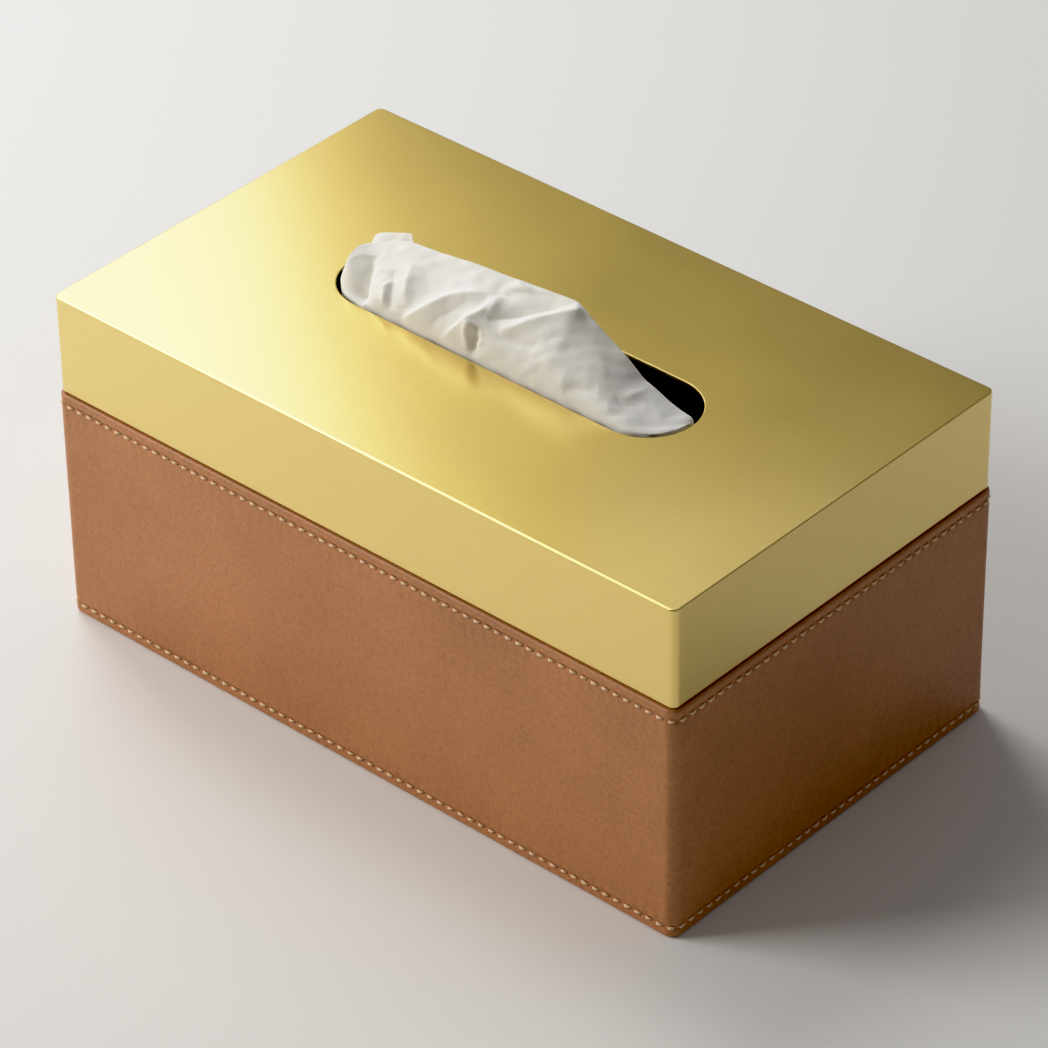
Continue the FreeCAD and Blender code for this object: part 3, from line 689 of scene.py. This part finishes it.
class TISSUEBOX_OT_lid(bpy.types.Operator):
    """Press the brass lid with its slot"""
    bl_idname = "tissuebox.lid"
    bl_label = "Brass Lid"

    def execute(self, context):
        settings = context.scene.lid_settings
        points = lid_points(settings)
        new_piece("brass_lid", points, grid_faces(*points.shape[:2], True, True),
                  brass_material(settings), "lid", "lid_shell")
        return {"FINISHED"}


# ---- Boards, suede and felt ----

class TISSUEBOX_OT_inside(bpy.types.Operator):
    """Finish the boards, the suede and the felt"""
    bl_idname = "tissuebox.inside"
    bl_label = "Boards and Linings"

    def execute(self, context):
        settings = context.scene.inside_settings
        suede = suede_material(settings)
        finishes = {"suede_covered_board": suede, "suede_lining": suede,
                    "black_felt": felt_material(settings),
                    "fibreboard": fibreboard_material(settings)}
        for row in frame["record"]["subparts"]:
            if row["material_slot"] in finishes:
                node = frame["nodes"][row["node"]]
                node.data.materials.clear()
                node.data.materials.append(finishes[row["material_slot"]])
        return {"FINISHED"}


# ---- Tissues ----

def stack_points(settings):
    """Stack of folded tissues: rings up the sides, then rings drawn in over the top.

    Each leaf is a low ridge, a rectified sine up the side, pushed in or out and skewed by its
    own seeded amount. The upper leaf covers the half behind the folds' line and stands a
    little higher than the half before it.
    """
    corner, least_corner, rings_per_leaf, rings_on_top = 1.5 * MM, 0.5 * MM, 4, 40
    ridge, set_back, shift_spread, shift_most = (x * MM for x in (0.28, 0.3, 0.28, 0.3))
    step, step_at, step_width = 0.35 * MM, 4 * MM, 0.25 * MM
    hollow, hollow_size, headroom = 0.25 * MM, 45 * MM, 0.4 * MM
    wave, wave_size = 0.12 * MM, 60 * MM

    low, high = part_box("tissue_stack")
    path = rounded_path(high.x - low.x, high.y - low.y, corner, (80, 44, 6))
    leaves = settings.layers
    level = np.arange(leaves * rings_per_leaf + 1) / rings_per_leaf
    swell = np.abs(np.sin(math.pi * level)) ** 0.5 * ridge - set_back
    leaf = np.minimum(level.astype(int), leaves - 1)
    shift = np.random.default_rng(5).normal(0, shift_spread, (leaves, 2))
    heights = low.z + (high.z - low.z - headroom) * level / leaves
    sides = path_rings(path, corner, swell, heights, least_corner)
    sides[..., :2] += np.clip(shift[leaf], -shift_most, shift_most)[:, None, :]
    sides[..., 2] += wave * smooth_noise(sides, wave_size, 8) * (level / leaves)[:, None]
    draw = np.linspace(0, 1, rings_on_top)[1:, None, None]
    top = sides[-1:] * (1 - draw) + sides[-1:] * (0.02, 0.0, 1.0) * draw
    raised = step / (1 + np.exp(-(top[..., 1] - step_at) / step_width))
    sunk = hollow * (smooth_noise(top, hollow_size, 9) - 1)
    top[..., 2] += (raised + sunk) * np.clip(draw[..., 0] * 12, 0, 1)
    under = sides[:1] * (0.01, 0.0, 1.0)
    return np.concatenate((under, sides, top))


class TISSUEBOX_OT_stack(bpy.types.Operator):
    """Lay the stack of folded tissues in the box"""
    bl_idname = "tissuebox.stack"
    bl_label = "Tissue Stack"

    def execute(self, context):
        settings = context.scene.tissue_settings
        points = stack_points(settings)
        faces = grid_faces(*points.shape[:2], close_columns=True)
        material = tissue_material(settings, "folded_tissue_paper")
        new_piece("folded_tissues", points, faces, material, "box",
                  "tissue_stack")
        return {"FINISHED"}


# The drawn-up tissue hangs in two leaves from one fold on the stack. Each row is a place along
# a leaf, left to right, in millimetres: x and y where it passes the lid's top, then x, y and
# height above the lid of its free edge.
FRONT_LEAF = (
    (-62.6, -8.2, -60.6, -10.0, -0.5),
    (-61.2, -9.9, -58.9, -11.0, 3.2),
    (-59.2, -11.9, -58.1, -10.0, 6.1),
    (-56.7, -13.6, -57.8, -8.6, 9.6),
    (-54.2, -14.6, -57.4, -6.6, 11.0),
    (-50.0, -15.3, -56.0, -4.0, 12.0),
    (-46.0, -15.4, -52.3, -1.8, 12.8),
    (-42.0, -15.4, -46.8, -0.5, 14.9),
    (-37.0, -15.4, -40.5, 0.0, 17.1),
    (-26.0, -15.4, -28.7, 0.0, 18.2),
    (-12.0, -15.4, -13.9, 0.0, 20.3),
    (2.0, -15.4, 0.7, 0.5, 21.1),
    (11.0, -15.4, 9.4, 1.0, 21.6),
    (24.0, -15.4, 22.5, 1.5, 22.6),
    (31.0, -15.4, 28.6, 1.6, 18.1),
    (39.0, -15.4, 37.3, 2.0, 12.9),
    (47.5, -15.3, 45.7, 2.5, 6.3),
    (54.5, -14.6, 54.2, 3.0, 2.6),
    (59.5, -11.8, 58.6, 3.2, 1.1),
    (63.0, -7.4, 62.0, 3.4, 0.3),
    (64.4, -3.6, 63.9, 3.4, -0.3),
    (65.0, 1.0, 65.0, 3.2, -2.5),
)
BACK_LEAF = (
    (-60.0, 1.0, -64.8, 7.6, 2.8),
    (-59.0, 1.5, -64.2, 7.8, 5.7),
    (-57.0, 2.2, -61.0, 8.0, 7.9),
    (-54.0, 3.0, -55.0, 8.0, 10.5),
    (-50.0, 4.2, -49.5, 8.0, 12.6),
    (-46.0, 5.5, -47.6, 8.0, 12.9),
    (-42.0, 6.8, -46.6, 6.6, 11.8),
    (-37.0, 8.0, -42.5, 4.4, 12.0),
    (-26.0, 8.6, -32.0, 3.8, 11.6),
    (-12.0, 8.2, -17.0, 3.6, 13.0),
    (2.0, 8.0, -2.0, 3.8, 14.6),
    (11.0, 8.0, 8.0, 4.2, 14.8),
    (18.0, 7.6, 14.0, 4.6, 13.0),
    (23.0, 7.2, 18.0, 5.0, 9.0),
    (28.0, 6.6, 23.0, 5.4, 5.0),
    (33.0, 5.8, 29.0, 5.6, 1.5),
    (38.0, 5.0, 36.0, 5.4, -1.5),
    (44.0, 4.4, 44.0, 4.4, -4.0),
)
# Folds in the front leaf above the lid: height, then half widths to the right and to the left of
# the line, looking along it, in millimetres; then the places that the line runs through, in
# thousandths of the way along the leaf and up it.
FRONT_FOLDS = (
    (-3.0, 4.2, 1.5, (115, 790), (115, 610), (113, 450), (110, 190), (103, 0), (108, 0)),
    (-2.8, 3.0, 1.2, (105, 320), (95, 60), (95, 0)),
    (1.5, 2.4, 2.4, (188, 500), (178, 390), (178, 270), (180, 180), (180, 90)),
    (0.7, 0.8, 0.8, (160, 320), (173, 390), (188, 490)),
    (-1.5, 2.6, 2.2, (178, 610), (185, 470), (195, 320), (203, 110)),
    (1.6, 2.4, 4.0, (223, 760), (228, 590), (233, 450), (246, 240)),
    (3.2, 8.0, 1.0, (241, 30), (256, 130), (283, 250), (316, 390), (343, 500), (373, 580),
     (419, 680), (456, 710)),
    (-0.9, 2.0, 2.6, (313, 50), (333, 220), (361, 350), (386, 470), (411, 580)),
    (3.0, 1.2, 6.0, (456, 730), (461, 630), (459, 520), (441, 450), (419, 360), (396, 250),
     (378, 150), (358, 40)),
    (-0.8, 1.0, 1.0, (373, 130), (393, 290), (414, 400)),
    (1.4, 3.0, 2.0, (469, 740), (474, 610), (471, 500)),
    (2.2, 0.9, 1.4, (439, 370), (429, 290), (426, 220), (431, 140), (436, 80)),
    (-2.6, 1.6, 1.6, (456, 360), (456, 260), (451, 150), (441, 10)),
    (1.2, 0.8, 0.8, (421, 350), (444, 340), (461, 300)),
    (0.8, 0.6, 0.9, (471, 340), (459, 270), (441, 220)),
    (0.6, 0.7, 0.6, (476, 230), (461, 180), (444, 170)),
    (-2.2, 0.9, 1.5, (471, 450), (491, 500), (524, 590), (559, 710), (604, 840), (649, 970)),
    (2.0, 2.6, 0.8, (506, 400), (544, 500), (576, 620), (622, 760), (657, 890), (662, 970)),
    (0.9, 0.8, 1.6, (459, 840), (506, 910), (581, 970), (647, 970)),
    (-0.8, 0.7, 0.9, (499, 870), (546, 920), (609, 970)),
    (0.8, 0.7, 0.8, (486, 1000), (506, 940), (536, 930)),
    (-0.8, 3.5, 3.5, (697, 150), (744, 240), (784, 330)),
    (-0.6, 3.0, 3.0, (815, 330), (852, 490), (875, 660)),
    (0.6, 1.5, 2.5, (830, 500), (842, 650), (850, 780), (855, 940)),
    (-0.5, 1.4, 3.2, (236, 790), (333, 790), (431, 790)),
    (-0.6, 1.2, 3.0, (469, 290), (521, 320), (581, 340), (659, 470)),
)
# Length and height of the sheet that those thousandths are of.
FRONT_SPAN = (148 * MM, 27 * MM)


def soften(values, width):
    """Values smoothed along their first axis with a bell curve that many rows wide."""
    reach = int(3 * width)
    weights = bell(np.arange(-reach, reach + 1), width)
    weights /= weights.sum()
    lead = 2 * values[:1] - values[reach:0:-1]
    tail = 2 * values[-1:] - values[-2:-reach - 2:-1]
    padded = np.concatenate((lead, values, tail))
    return np.stack([np.convolve(column, weights, "valid") for column in padded.T], axis=1)


def leaf_lines(table, columns):
    """Mouth and free edge of a leaf, evenly spaced along its middle, as two rows of points."""
    table = np.array(table) * MM
    mouth = np.column_stack((table[:, :2], np.zeros(len(table))))
    edge = table[:, 2:]
    steps = np.linalg.norm(np.diff((mouth + edge) / 2, axis=0), axis=1)
    run = np.concatenate(([0.0], np.cumsum(steps)))
    even = np.linspace(0, run[-1], columns)
    both = np.column_stack((mouth, edge))
    both = np.stack([np.interp(even, run, column) for column in both.T], axis=1)
    both = soften(both, columns / 110)
    return both[:, :3], both[:, 3:]


def hump(mouth, edge, rise, lean, share):
    """Sheet from the mouth to the free edge, at shares of the way up.

    A cubic curve that leaves the mouth upwards by rise and comes to the edge along lean.
    """
    t = share[:, None, None]
    return ((1 - t) ** 3 * mouth + 3 * t * (1 - t) ** 2 * (mouth + rise)
            + 3 * t ** 2 * (1 - t) * (edge - lean) + t ** 3 * edge)


def fold_relief(folds, along, up, span):
    """Height of the folds over a leaf, in metres.

    Each fold is a line through its places. A point's height is the fold's, times e to the power
    of minus its distance to the line over the half width on its side. The crest is rounded off
    by 0.25 mm, and the fold fades to nothing at both ends of its line.
    """
    samples, smoothing, change_sides, crest_radius = 160, 12, 0.3 * MM, 0.25 * MM
    total = np.zeros(np.broadcast(along, up).shape)
    x, y = np.broadcast_arrays(along * span[0], up * span[1])
    fade = np.sin(np.linspace(0.0, math.pi, samples)) ** 0.7
    for height, right_width, left_width, *places in folds:
        t = np.linspace(0, len(places) - 1, samples)
        line = np.stack([np.interp(t, np.arange(len(places)), column)
                         for column in (np.array(places) / 1000 * span).T], axis=1)
        line = soften(line, smoothing)
        course = np.gradient(line, axis=0)
        course /= np.linalg.norm(course, axis=1, keepdims=True)
        off_x, off_y = x[..., None] - line[:, 0], y[..., None] - line[:, 1]
        gap = np.hypot(off_x, off_y)
        nearest = gap.argmin(axis=-1)[..., None]
        away, off_x, off_y = (np.take_along_axis(a, nearest, axis=-1)[..., 0]
                              for a in (gap, off_x, off_y))
        nearest = nearest[..., 0]
        side = (course[nearest, 0] * off_y - course[nearest, 1] * off_x) / change_sides
        half_width = right_width + (left_width - right_width) / (1 + np.exp(-side))
        crest = np.hypot(away, crest_radius) - crest_radius
        total += height * MM * np.exp(-crest / (half_width * MM)) * fade[nearest]
    return total


def crumple(points, size, seed):
    """Sharp-edged unevenness, mostly from -1 to 1, as in crushed paper: folded waves, added up.

    Each of seven plane waves with a seeded direction is a triangle wave, so that it has a
    crease at every crest and trough.
    """
    count, rng = 7, np.random.default_rng(seed)
    rates = plane_waves(rng, count, 0.5, 1.5) / size
    drift = 0.35 * smooth_noise(points, 3 * size, seed + 1)
    waves = points @ rates.T + rng.uniform(0, 1, count) + drift[..., None]
    return (2 * np.abs(2 * (waves % 1) - 1) - 1).sum(axis=-1) / 4


def surface_directions(points):
    """Unit direction square to the surface at each point of a grid."""
    across = np.gradient(points, axis=1)
    up = np.gradient(points, axis=0)
    square = np.cross(across, up)
    return square / np.maximum(np.linalg.norm(square, axis=-1, keepdims=True), 1e-12)


def keep_in_slot(points, reach, limit):
    """Points drawn in smoothly so that none is further than limit from the slot's middle line."""
    sharpness = 14
    core = np.clip(points[..., 0], -reach, reach)
    off = np.hypot(points[..., 0] - core, points[..., 1])
    less = 1 / (1 + (off / limit) ** sharpness) ** (1 / sharpness)
    points[..., 0] = core + (points[..., 0] - core) * less
    points[..., 1] *= less
    return points


def leaf_above(mouth, edge, share, along):
    """Leaf above the lid: it leaves the slot upwards, more so at its right, and leans over."""
    steep_left, steeper_right, change_at, change_width = 0.32, 0.2, 0.45, 0.06
    puff, full_puff_at, side_share = 1.5 * MM, 8 * MM, 0.1
    lean = 0.36 * np.array((1, 1, 0.65))
    steepness = steep_left + steeper_right / (1 + np.exp(-(along - change_at) / change_width))
    height = np.maximum(edge[:, 2], 0)
    reach = edge - mouth
    rise = np.column_stack((side_share * reach[:, :2], steepness * height
                            + puff * np.clip(height / full_puff_at, 0.05, 1)))
    return hump(mouth, edge, rise, reach * lean, share)


def leaf_below(mouth, side, share, phase, along, fold_height):
    """Leaf below the lid: down to the fold on the stack, in pleats that grow downwards."""
    fold_left, fold_right, half_gap = -52 * MM, 53 * MM, 0.4 * MM
    pleats, depth, drift = 12, 4.9 * MM, 0.9 * MM
    foot = np.stack((np.linspace(fold_left, fold_right, len(along)),
                     np.full(len(along), side * half_gap),
                     np.full(len(along), fold_height)), axis=1)
    t = share[:, None]
    level = mouth + (foot - mouth) * t[..., None] ** (1.0, 1.5, 1.0)
    turn = 2 * math.pi * pleats * (along + 0.025 * np.sin(9 * along)) + phase * (1 - t)
    grown = 1 - (1 - t) ** 3
    level[..., 1] += depth * grown * np.sin(turn)
    level[..., 0] += drift * grown * np.sin(2 * turn)
    return level


def tissue_points(settings, slot_length, slot_width):
    """Drawn-up tissue as one sheet: front leaf from its free edge down, fold, back leaf up.

    Above the lid each leaf is a cubic curve from the slot to its free edge. Below it, the leaf
    falls to the fold on the stack, with pleats that are sine waves along the leaf and grow
    downwards. The folds, a crumple and smaller creases move it square to itself.
    """
    columns, front_rows, back_rows, down_rows = 230, 72, 34, 40
    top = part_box("lid_shell")[1].z
    fold_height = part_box("tissue_stack")[1].z + 0.5 * MM - top
    front_mouth, front_edge = leaf_lines(FRONT_LEAF, columns)
    back_mouth, back_edge = leaf_lines(BACK_LEAF, columns)
    along = np.linspace(0, 1, columns)
    up_front = np.linspace(1, 0, front_rows)
    up_back = np.linspace(0, 1, back_rows)[1:]
    down = np.linspace(0, 1, down_rows)[1:]
    sheet = np.concatenate((
        leaf_above(front_mouth, front_edge, up_front, along),
        leaf_below(front_mouth, -1, down, 0.7, along, fold_height),
        leaf_below(back_mouth, 1, down, -1.0, along, fold_height)[:0:-1],
        back_mouth[None],
        leaf_above(back_mouth, back_edge, up_back, along)))
    out = -surface_directions(sheet)
    relief = np.zeros(sheet.shape[:2])
    relief[:front_rows] = fold_relief(FRONT_FOLDS, along[None], up_front[:, None], FRONT_SPAN)
    # The crumple fades out towards the fold, which lies on the stack.
    crumpled = np.clip((sheet[..., 2] + 58 * MM) / (10 * MM), 0, 1)
    for height, size, seed in ((0.42 * MM, 15 * MM, 21), (0.16 * MM, 6 * MM, 31)):
        relief += crumpled * height * crumple(sheet, size, seed)
    sheet += out * (settings.relief * relief)[..., None]
    sheet = keep_in_slot(sheet, (slot_length - slot_width) / 2, slot_width / 2 - 0.5 * MM)
    sheet[..., 2] += top
    return sheet


class TISSUEBOX_OT_tissue(bpy.types.Operator):
    """Draw one tissue up through the slot"""
    bl_idname = "tissuebox.tissue"
    bl_label = "Drawn-up Tissue"

    def execute(self, context):
        settings = context.scene.tissue_settings
        lid = context.scene.lid_settings
        points = tissue_points(settings, lid.slot_length, lid.slot_width)
        piece = new_piece("drawn_tissue", points, grid_faces(*points.shape[:2])[:, ::-1],
                          tissue_material(settings, "creped_tissue_paper"), "tissue",
                          "pulled_tissue")
        solid = piece.modifiers.new("two_plies", "SOLIDIFY")
        solid.thickness = settings.thickness
        solid.offset = 0.0
        return {"FINISHED"}


# ---- Stage ----

# Each light's name, place, target, width and depth in metres, power in watts and colour.
LIGHTS = (
    ("key", (-1.05, -0.92, 0.84), (0, 0, 0.05), (0.77, 0.77), 15.7, "#FFFDF8"),
    ("back_left", (-0.82, 0.38, 0.91), (-0.1, 0, 0.1), (0.6, 0.7), 3.4, "#FFFFFF"),
    ("left_card", (-0.76, -0.07, 0.54), (0, 0, 0.1), (0.62, 0.62), 1.1, "#FFFFFF"),
    ("overhead", (-0.89, 0.36, 1.86), (0, 0, 0.1), (0.53, 0.53), 5.5, "#FFFFFF"),
    ("back_card", (-0.115, 0.26, 0.45), (0.08, -0.05, 0.11), (0.15, 0.15), 0.03, "#FFFFFF"),
    ("back_wall", (0.2, 2.2, 1.1), (0, 0, 0.1), (2.2, 1.2), 2.9, "#FFFFFF"),
    ("right_wall", (2.3, 0.5, 1.15), (0, 0, 0.1), (1.6, 1.1), 1.1, "#FFFFFF"),
)
WORLD_STRENGTH = 0.135
FLOOR_REACH = 6.0
# How far the camera stands right of and above the line of sight through the origin.
CAMERA_RIGHT, CAMERA_UP = 0.65 * MM, 40.06 * MM
# How light is shown, as on film: the deepest tones fall to black, the middle ones stay as they
# are, and the brightest roll off softly instead of clipping to yellow on brass. Each row is a
# brightness of the scene and how bright it is shown.
BLACK_AT, WHITE_AT = 0.02, 2.5
TONES = ((0.22, 0.204), (0.42, 0.408), (0.62, 0.605), (0.82, 0.775), (1.02, 0.875),
         (1.35, 0.94), (1.9, 0.98))


def lay_floor(colour):
    """Broad matt painted floor, one even tone with a slight mottle."""
    mesh = bpy.data.meshes.new("floor")
    corners = np.array(((-1, -1, 0), (1, -1, 0), (1, 1, 0), (-1, 1, 0))) * FLOOR_REACH
    mesh.from_pydata(corners.tolist(), [], [(0, 1, 2, 3)])
    material, add, shader, place = new_material("matt_painted_floor", colour, 0.8,
                                                {"Specular IOR Level": 0.2})
    mottle = add("ShaderNodeTexNoise", {"Vector": place, "Scale": 3.0})
    tone = add("ShaderNodeMix", {0: mottle.outputs["Fac"], 6: scaled(colour, 0.97),
                                 7: scaled(colour, 1.0)}, data_type="RGBA")
    feed(shader, {"Base Color": tone.outputs[2]})
    mesh.materials.append(material)
    link_object("floor", mesh)


def set_lights(scene):
    """World light and the soft rectangular lights, each turned towards its target."""
    scene.world = bpy.data.worlds.new("studio")
    scene.world.use_nodes = True
    feed(scene.world.node_tree.nodes["Background"],
         {"Color": (1, 1, 1, 1), "Strength": WORLD_STRENGTH})
    for name, place, target, size, power, colour in LIGHTS:
        data = bpy.data.lights.new(name, "AREA")
        data.shape = "RECTANGLE"
        data.size, data.size_y = size
        data.energy = power
        data.color = linear(colour)
        light = link_object(name, data)
        light.location = place
        towards = Vector(target) - Vector(place)
        light.rotation_euler = towards.to_track_quat("-Z", "Y").to_euler()


def set_camera(scene, settings):
    """Camera at a distance from the origin in its direction, tilted by its roll."""
    azimuth, elevation, roll = settings.azimuth, settings.elevation, settings.roll
    back = Vector((math.sin(azimuth) * math.cos(elevation),
                   -math.cos(azimuth) * math.cos(elevation), math.sin(elevation)))
    level = Vector((math.cos(azimuth), math.sin(azimuth), 0))
    upright = back.cross(level)
    right = level * math.cos(roll) + upright * math.sin(roll)
    up = upright * math.cos(roll) - level * math.sin(roll)
    data = bpy.data.cameras.new("camera")
    data.sensor_width = SENSOR_MM
    data.lens = settings.lens
    data.clip_start, data.clip_end = 0.05, 30.0
    place = back * settings.distance + right * CAMERA_RIGHT + up * CAMERA_UP
    scene.camera = link_object("camera", data)
    turned = Matrix((right, up, back)).transposed().to_4x4()
    scene.camera.matrix_world = Matrix.Translation(place) @ turned


def set_tones(view):
    """Standard view with the tone curve above."""
    view.view_transform = "Standard"
    view.use_curve_mapping = True
    mapping = view.curve_mapping
    mapping.black_level = (BLACK_AT,) * 3
    mapping.white_level = (WHITE_AT,) * 3
    for brightness, shown in TONES:
        mapping.curves[3].points.new((brightness - BLACK_AT) / (WHITE_AT - BLACK_AT), shown)
    mapping.update()


class TISSUEBOX_OT_stage(bpy.types.Operator):
    """Set the floor, the studio lights and the camera"""
    bl_idname = "tissuebox.stage"
    bl_label = "Stage"

    def execute(self, context):
        settings = context.scene.stage_settings
        lay_floor(settings.floor)
        set_lights(context.scene)
        set_tones(context.scene.view_settings)
        set_camera(context.scene, settings)
        return {"FINISHED"}


# ---- Add-on ----

SETTINGS = {"leather_settings": LeatherSettings, "lid_settings": LidSettings,
            "tissue_settings": TissueSettings, "inside_settings": InsideSettings,
            "stage_settings": StageSettings}
OPERATORS = (TISSUEBOX_OT_leather, TISSUEBOX_OT_stitches, TISSUEBOX_OT_lid,
             TISSUEBOX_OT_inside, TISSUEBOX_OT_stack, TISSUEBOX_OT_tissue, TISSUEBOX_OT_stage)


class TISSUEBOX_PT_pieces(bpy.types.Panel):
    """Buttons that build each piece of the tissue box"""
    bl_idname = "TISSUEBOX_PT_pieces"
    bl_label = "Tissue Box"
    bl_space_type = "VIEW_3D"
    bl_region_type = "UI"
    bl_category = "Tissue Box"

    def draw(self, context):
        for operator in OPERATORS:
            self.layout.operator(operator.bl_idname)
        for name, group in SETTINGS.items():
            box = self.layout.box()
            box.label(text=name.replace("_", " ").capitalize())
            for prop in group.__annotations__:
                box.prop(getattr(context.scene, name), prop)


def register():
    for group in SETTINGS.values():
        bpy.utils.register_class(group)
    for operator in (*OPERATORS, TISSUEBOX_PT_pieces):
        bpy.utils.register_class(operator)
    for name, group in SETTINGS.items():
        setattr(bpy.types.Scene, name, PointerProperty(type=group))


def unregister():
    for name in SETTINGS:
        delattr(bpy.types.Scene, name)
    for operator in reversed((*OPERATORS, TISSUEBOX_PT_pieces)):
        bpy.utils.unregister_class(operator)
    for group in reversed(SETTINGS.values()):
        bpy.utils.unregister_class(group)


def main():
    register()
    for operator in OPERATORS:
        family, action = operator.bl_idname.split(".")
        getattr(getattr(bpy.ops, family), action)()


if __name__ == "__main__":
    main()
